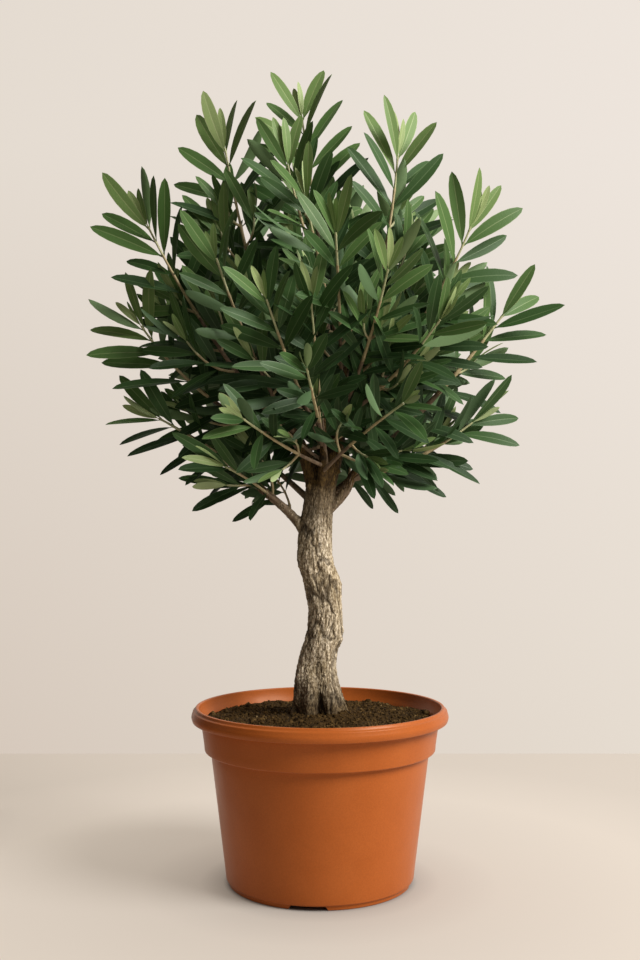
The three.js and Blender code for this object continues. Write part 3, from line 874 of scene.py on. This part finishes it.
def grow(line, thick, thin, bare, leaf_length, twig_chance, spray_tone_and_shade, droop=0.0):
    """Leaves in crossed pairs from the tip of a stem back to its bare foot, with side twigs."""
    far = measured(line)
    total = far[-1]
    joints = []
    age = rng.uniform(3, 6) * MM
    gap, widest, tan_from, brown_from = LONG_STEM if total > LONG_SHOOT else SHORT_STEM
    while age < total * (1 - bare):
        joints.append(age)
        age += gap * rng.uniform(0.88, 1.12)
        gap = min(gap * 1.15, widest)
    roll = rng.uniform(-9, 9)
    for number, age in enumerate(joints):
        place, way = point_on(line, far, total - age)
        face = faced(place)
        side = way.cross(face).normalized()
        front = side.cross(way).normalized()
        turn = math.radians((15 if number % 2 else -28) + roll + rng.gauss(0, 10))
        for sign in (-1, 1):
            radial = side * (sign * math.cos(turn)) + front * (sign * math.sin(turn))
            lean = math.radians(17 + 40 * (1 - math.exp(-age / (46 * MM))) + rng.gauss(0, 5))
            leaf_way = way * math.cos(lean) + radial * math.sin(lean)
            leaf_way.z -= droop * min(age / (120 * MM), 1) + 0.05
            size = leaf_length * rng.uniform(0.82, 1.04) * (0.88 + 0.12 * min(1, age / (24 * MM)))
            size *= 1 - min(0.75 * droop, 0.34) * min(1, age / (110 * MM))
            foot = place + radial * (0.9 * MM)
            add_leaf(foot, leaf_way, way, size, tint_of(place, age, spray_tone_and_shade))
            if age > TWIG_AGE and rng.random() < twig_chance:
                reach = min(0.5 * (age - 48 * MM), TWIG_LONGEST) * rng.uniform(0.75, 1.15)
                tip_way = (way * 0.8 + radial * 0.55 + Vector((0, 0, 0.18 - droop))).normalized()
                start_way = (way * 0.5 + radial * 0.85).normalized()
                bend = place + start_way * reach * 0.5
                tip = place + tip_way * reach
                if tip.z < fork.z + 4 * MM:
                    continue
                steps = max(4, round(reach / (7 * MM)))
                twig = [place * (1 - t) ** 2 + bend * (2 * t * (1 - t)) + tip * t * t
                        for t in (k / steps for k in range(steps + 1))]
                grow(twig, 1.7 * MM, 1.0 * MM, 0.16, leaf_length * 0.9, 0, spray_tone_and_shade - 0.25, droop)
    # The bud at the tip: two small new leaves, nearly closed.
    tip, way = point_on(line, far, total)
    side = way.cross(faced(tip)).normalized()
    for sign in (-1, 1):
        lean = math.radians(rng.uniform(4, 11))
        add_leaf(tip, way * math.cos(lean) + side * (sign * math.sin(lean)), way,
                 leaf_length * rng.uniform(0.38, 0.68), "pale" if rng.random() < 0.7 else "light", 0.5)
    # The stem itself, swollen a little at its joints, parted by age into three barks.
    marks = [*np.linspace(0, total, max(4, round(total / (9 * MM))))]
    marks += [total - a + d for a in joints for d in (-2.2 * MM, 0, 2.2 * MM)]
    rows = []
    for mark in sorted({round(m, 5) for m in marks if 0 <= m <= total}):
        place, _ = point_on(line, far, mark)
        radius = thick + (thin - thick) * (mark / total) ** 0.75
        swells = [math.exp(-((total - a - mark) / (1.8 * MM)) ** 2) for a in joints]
        rows.append((place, radius + 0.38 * MM * max(swells, default=0), total - mark))
    bounds = (0, tan_from, brown_from, math.inf)
    for kind, nearest, furthest in zip(stems, bounds, bounds[1:]):
        part = [(p, r) for p, r, a in rows if nearest - 5 * MM <= a <= furthest + 5 * MM]
        if len(part) > 1:
            stems[kind].append(part)


LEAF = 86 * MM
# Low shoots droop, are darker with painted shade, and have more side twigs: below what height, how much of
# each.
BANDS = ((500, 0.85, 1.1, 0.26), (600, 0.42, 0.45, 0.26), (math.inf, 0.0, 0.0, 0.22))
for name, (_, _, _, _, top, _, thick, bare) in SHOOTS.items():
    rng.seed(f"{name} olive")
    droop, low_shade, twigs = next(shares for below, *shares in BANDS if top < below)
    near = 0.86 if name.startswith("front") else 1.0
    grow(limb_lines[name], thick * MM, 1.1 * MM, bare, LEAF * near, twigs,
         rng.uniform(-0.35, 0.35) - low_shade, droop)

# Short inner shoots fill the heart of the crown, evenly spread round it by the golden angle.
INNER = 20
HEART_REACH = Vector((140, 150, 122)) * MM
heart_low, heart_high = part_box("foliage_heart")
heart = (heart_low + heart_high) / 2
for k in range(INNER):
    rise = 1 - 2 * (k + 0.5) / INNER
    turn = k * math.pi * (3 - math.sqrt(5)) + 0.4
    flat = math.sqrt(1 - rise * rise)
    way = Vector((HEART_REACH.x * flat * math.cos(turn), HEART_REACH.y * flat * math.sin(turn),
                  HEART_REACH.z * rise))
    end = heart + way * rng.uniform(0.6, 0.95)
    if end.y < -40 * MM and abs(end.x) < 60 * MM and end.z < heart.z - 30 * MM:
        continue
    parent = rng.choice(("right", "left", "back"))
    highest = min(limb_lines[parent][-1].z, max(end.z - 30 * MM, fork.z + 12 * MM))
    start = spot_at(limb_lines[parent], rng.uniform(fork.z, highest))
    line = bowed(start, end, turn, 6 * MM, 6 * MM)
    # Their leaves are darker: painted shade inside the crown.
    grow(line, 2.6 * MM, 1.0 * MM, 0.2, LEAF * 0.88, 0.15, -0.7)

# Stems: each a line of points with a girth, swept by a round profile and closed at its ends.
stems_tree, given, result = tree_of("swept_stems", ("Material", "Material"), ("Sides", "Int"))
curves = added(stems_tree, "GeometryNodeMeshToCurve", ("Mesh", given.outputs["Geometry"]))
profile = added(stems_tree, "GeometryNodeCurvePrimitiveCircle", ("Resolution", given.outputs["Sides"]),
                ("Radius", 1.0))
swept = added(stems_tree, "GeometryNodeCurveToMesh", ("Curve", curves.outputs["Curve"]),
              ("Profile Curve", profile.outputs["Curve"]), ("Fill Caps", True),
              ("Scale", attribute(stems_tree, "girth", "FLOAT")))
painted(stems_tree, realised(stems_tree, swept.outputs["Mesh"]), given, result)


def stem_finish(name, first, second, roughness, fleck):
    """Young bark: two tones along the stem, with fine pale pores."""
    material, tree, shader = finish_of(name, first, roughness)
    tone = ramp(tree, grain(tree, 130, 3), (0.35, first), (0.65, second))
    pores = ramp(tree, grain(tree, 700, 2), (0.55, (1, 1, 1)), (0.7, (fleck, fleck, fleck)))
    tree.links.new(blended(tree, 1.0, tone, pores, "MULTIPLY"), shader.inputs["Base Color"])
    bumped(tree, shader, (grain(tree, 600, 4), 0.0004))
    return material


stem_barks = {
    "green": stem_finish("green_stem", (0.36, 0.38, 0.19), (0.46, 0.45, 0.25), 0.55, 1.1),
    "tan": stem_finish("tan_stem", (0.33, 0.26, 0.13), (0.44, 0.35, 0.19), 0.65, 1.2),
    "brown": stem_finish("brown_stem", (0.12, 0.08, 0.045), (0.20, 0.14, 0.085), 0.8, 1.4),
}
for kind, parts in stems.items():
    mesh = bpy.data.meshes.new(f"stems_{kind}")
    points = [p for part in parts for p, _ in part]
    girths = [r for part in parts for _, r in part]
    edges = []
    first = 0
    for part in parts:
        edges += [(first + i, first + i + 1) for i in range(len(part) - 1)]
        first += len(part)
    mesh.from_pydata(points, edges, [])
    point_values(mesh, "girth", girths)
    piece = grown_by(stems_tree, new_object(f"stems_{kind}", mesh), f"stems_{kind}",
                     material=stem_barks[kind], sides=8)
    smooth(piece.data)
    finished(piece, "bark" if kind == "brown" else "young_bark")


# ---- The leaves ----
# Narrow leathery blades, folded along a pale midrib and bent a little back at the tip: waxy green
# above and grey-green beneath. Each is a thin closed body, and each tint of leaf is one joined
# piece.

ROWS = (0.0, 0.055, 0.13, 0.25, 0.40, 0.56, 0.71, 0.84, 0.94, 1.0)
COLUMNS = (-1, -0.92, -0.06, 0.06, 0.92, 1)
BLADE, RIB, UNDERSIDE = 0, 1, 2


def half_width(t, width):
    """Half the leaf's width at a share of its length: a short stalk, then a lance-shaped blade."""
    if t < 0.04:
        return 0.012
    s = (t - 0.04) / 0.96
    blade = (s ** 0.76 * (1 - s) ** 0.6) / 0.394
    return max(0.5 * width * blade, 0.012 if t < 0.5 else 0.0012)


def leaf_kind(number, width, fold, curl, sickle, twist):
    """One shape of leaf, a unit long, pointing along Y with its upper side towards Z."""
    body = bmesh.new()
    part = body.faces.layers.int.new("part")
    tops, unders = [], []
    for t in ROWS:
        half = half_width(t, width)
        spine = Vector((sickle * t * t, t, -curl * t * t + 0.3 * curl * t))
        roll = twist * (t - 0.2)
        across = Vector((math.cos(roll), 0, math.sin(roll)))
        above = Vector((-math.sin(roll), 0, math.cos(roll)))
        row = []
        for c in COLUMNS:
            rise = fold * abs(c) * half - (0.10 * half * abs(c) ** 3)
            row.append(body.verts.new(spine + across * (c * half) + above * rise))
        tops.append(row)
        unders.append(body.verts.new(spine - above * (0.006 + 0.05 * half)))
    # Each strip is cut the same way above and beneath, so that the two skins never cross.
    for i in range(len(ROWS) - 1):
        low, high = tops[i], tops[i + 1]
        strips = [(low[k], low[k + 1], high[k + 1], high[k], BLADE if k in (1, 3) else RIB)
                  for k in range(len(COLUMNS) - 1)]
        strips.append((low[0], unders[i], unders[i + 1], high[0], UNDERSIDE))
        strips.append((unders[i], low[-1], high[-1], unders[i + 1], UNDERSIDE))
        for one, two, three, four, kind in strips:
            for corners in ((one, two, three), (one, three, four)):
                body.faces.new(corners)[part] = kind
    for row, under, flip in ((tops[0], unders[0], False), (tops[-1], unders[-1], True)):
        corners = [*row, under]
        face = body.faces.new(corners if flip else list(reversed(corners)))
        face[part] = UNDERSIDE
    bmesh.ops.recalc_face_normals(body, faces=body.faces)
    for edge in body.edges:
        kinds = {face[part] for face in edge.link_faces}
        edge.smooth = not (UNDERSIDE in kinds and len(kinds) > 1)
    return bpy.data.objects.new(f"leaf_{number}", mesh_of(body, f"leaf_{number}", turn_out=False))


leaf_kinds = bpy.data.collections.new("leaf_kinds")
for number, shape in enumerate(((0.205, 0.34, 0.10, 0.03, 0.2), (0.19, 0.30, 0.06, -0.05, -0.25),
                                (0.225, 0.26, 0.14, 0.02, 0.1), (0.20, 0.42, 0.04, -0.03, 0.35),
                                (0.215, 0.22, 0.18, 0.06, -0.15), (0.18, 0.36, 0.12, -0.06, 0.0))):
    leaf_kinds.objects.link(leaf_kind(number, *shape))

leaves_tree, given, result = tree_of("set_leaves", ("Kinds", "Collection"), ("Blade", "Material"),
                                     ("Rib", "Material"), ("Underside", "Material"))
posed = added(leaves_tree, "FunctionNodeAxesToRotation", (0, attribute(leaves_tree, "way", "FLOAT_VECTOR")),
              (1, attribute(leaves_tree, "face", "FLOAT_VECTOR")), primary_axis="Y", secondary_axis="Z")
last = dealt_out(leaves_tree, given, given.outputs["Geometry"],
                 ("Instance Index", attribute(leaves_tree, "kind", "INT")), ("Rotation", posed.outputs[0]),
                 ("Scale", attribute(leaves_tree, "span", "FLOAT")))
part = attribute(leaves_tree, "part", "INT")
for number, label in ((BLADE, "Blade"), (RIB, "Rib"), (UNDERSIDE, "Underside")):
    chosen = added(leaves_tree, "FunctionNodeCompare", (2, part), (3, number), data_type="INT",
                   operation="EQUAL")
    last = added(leaves_tree, "GeometryNodeSetMaterial", ("Geometry", last), ("Selection", chosen.outputs[0]),
                 ("Material", given.outputs[label])).outputs["Geometry"]
leaves_tree.links.new(last, result.inputs["Geometry"])


def leaf_finish(name, colour, roughness, gloss):
    """A plain leaf colour with a waxy surface and fine veins."""
    material, tree, shader = finish_of(name, colour, roughness, gloss)
    bumped(tree, shader, (grain(tree, 420, 3), 0.00014))
    return material


LEAF_COLOURS = {                        # blade, midrib and rim, underside
    "deep": ((0.020, 0.050, 0.013), (0.048, 0.092, 0.030), (0.056, 0.108, 0.042)),
    "dark": ((0.036, 0.084, 0.021), (0.082, 0.142, 0.048), (0.088, 0.158, 0.064)),
    "mid": ((0.072, 0.142, 0.037), (0.15, 0.220, 0.078), (0.148, 0.238, 0.100)),
    "light": ((0.148, 0.238, 0.072), (0.26, 0.335, 0.130), (0.230, 0.335, 0.145)),
    "pale": ((0.27, 0.355, 0.138), (0.38, 0.44, 0.21), (0.345, 0.43, 0.20)),
}
foliage = [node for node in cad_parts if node.startswith("foliage_")]
for tint in TINTS:
    feet, ways, faces, spans, shapes = zip(*sprays[tint])
    mesh = bpy.data.meshes.new(f"leaves_{tint}")
    mesh.from_pydata(feet, [], [])
    for label, vectors in (("way", ways), ("face", faces)):
        point_values(mesh, label, [c for vector in vectors for c in vector], "FLOAT_VECTOR", "vector")
    point_values(mesh, "span", spans)
    point_values(mesh, "kind", shapes, "INT")
    blade, rib, under = LEAF_COLOURS[tint]
    piece = grown_by(leaves_tree, new_object(f"leaves_{tint}", mesh), f"leaves_{tint}", kinds=leaf_kinds,
                     blade=leaf_finish(f"{tint}_leaf", blade, 0.52, 0.2),
                     rib=leaf_finish(f"{tint}_midrib", rib, 0.5, 0.4),
                     underside=leaf_finish(f"{tint}_underside", under, 0.6, 0.35))
    finished(piece, "leaves", *(foliage if tint == "dark" else ()))


# ---- The floor, the wall and the light ----
# A plain warm white studio: a floor, a wall behind that shows only from its front, one soft
# light from the right, and an even fill.

def sheet(name, corners, colour, roughness):
    """A flat piece of the stage, with its finish's material, node tree and shader."""
    mesh = bpy.data.meshes.new(name)
    mesh.from_pydata(corners, [], [(0, 1, 2, 3)])
    made = new_object(name, mesh)
    material, tree, shader = finish_of(name, colour, roughness)
    made.data.materials.append(material)
    return material, tree, shader


# The floor glows a little as painted light, with painted shade round the pot's foot where the glow
# falls away, and a little less glow far from the pot.
SIDE = 4                                # how far the floor and the wall reach to each side
_, tree, shader = sheet("floor", [(-SIDE, -SIDE, 0), (SIDE, -SIDE, 0), (SIDE, SIDE, 0), (-SIDE, SIDE, 0)],
                        (0.26, 0.24, 0.222), 0.9)
shader.inputs["Emission Color"].default_value = (0.46, 0.395, 0.325, 1)
place = added(tree, "ShaderNodeTexCoord").outputs["Object"]
away = added(tree, "ShaderNodeVectorMath", (0, place), operation="LENGTH")
# Painted shade round the pot's foot: the glow falls away near it.
painted_floor_light = ramp(tree, away.outputs["Value"], (FOOT - 2 * MM, 0.0), (FOOT + 5 * MM, 0.42),
                (FOOT + 34 * MM, 0.68), (0.21, 0.85), (0.42, 0.98), (0.64, 0.84))
tree.links.new(painted_floor_light, shader.inputs["Emission Strength"])

# The wall's glow is painted light, nearly even, with painted shade towards the lower left and brighter
# towards the right and the top. It is clear from behind.
WALL_BACK = 0.70
WALL_TALL = 3.5
_, tree, shader = sheet("back_wall", [(-SIDE, WALL_BACK, 0), (SIDE, WALL_BACK, 0),
                                      (SIDE, WALL_BACK, WALL_TALL), (-SIDE, WALL_BACK, WALL_TALL)],
                        (0.8, 0.75, 0.7), 0.9)
place = added(tree, "ShaderNodeTexCoord").outputs["Object"]
parts = added(tree, "ShaderNodeSeparateXYZ", ("Vector", place))
across = added(tree, "ShaderNodeMapRange", ("Value", parts.outputs["X"]), ("From Min", -0.6),
               ("From Max", 0.6))
up = added(tree, "ShaderNodeMapRange", ("Value", parts.outputs["Z"]), ("From Max", 1.1))
# Painted light and shade across the wall: darker at the lower left, brighter at the upper right.
low_painted_light = ramp(tree, across.outputs["Result"], (0.0, (0.67, 0.58, 0.50)), (1.0, (0.79, 0.715, 0.63)))
high_painted_light = ramp(tree, across.outputs["Result"], (0.0, (0.78, 0.71, 0.635)), (1.0, (0.85, 0.78, 0.715)))
painted_wall_light = added(tree, "ShaderNodeEmission", ("Color", blended(tree, up.outputs["Result"], low_painted_light, high_painted_light)))
behind = added(tree, "ShaderNodeNewGeometry").outputs["Backfacing"]
clear = added(tree, "ShaderNodeBsdfTransparent").outputs["BSDF"]
choice = added(tree, "ShaderNodeMixShader", (0, behind), (1, painted_wall_light.outputs["Emission"]), (2, clear))
tree.links.new(choice.outputs["Shader"], tree.nodes["Material Output"].inputs["Surface"])
tree.nodes.remove(shader)

# A black flag at the left keeps the shaded side deep. The camera doesn't see it, and it casts no
# shadow of its own.
FLAG_LEFT, FLAG_FRONT, FLAG_BACK, FLAG_TALL = -0.47, -1.1, 0.32, 1.5
sheet("flag", [(FLAG_LEFT, FLAG_FRONT, 0), (FLAG_LEFT, FLAG_BACK, 0), (FLAG_LEFT, FLAG_BACK, FLAG_TALL),
               (FLAG_LEFT, FLAG_FRONT, FLAG_TALL)], (0.01, 0.01, 0.01), 1.0)
flag = bpy.data.objects["flag"]
flag.visible_camera = False
flag.visible_shadow = False

world = bpy.data.worlds.new("studio")
world.use_nodes = True
world.node_tree.nodes["Background"].inputs["Color"].default_value = (0.98, 0.90, 0.80, 1)
world.node_tree.nodes["Background"].inputs["Strength"].default_value = 0.27
scene.world = world

key = bpy.data.objects.new("key_light", bpy.data.lights.new("key_light", "AREA"))
key.data.shape = "DISK"
key.data.size = 1.9
key.data.energy = 192
key.data.color = (1.0, 0.975, 0.94)
key.location = (2.52, -1.46, 2.55)
aim = Vector((0, 0, 0.45)) - key.location
key.rotation_euler = aim.to_track_quat("-Z", "Y").to_euler()
key.visible_camera = False
scene.collection.objects.link(key)
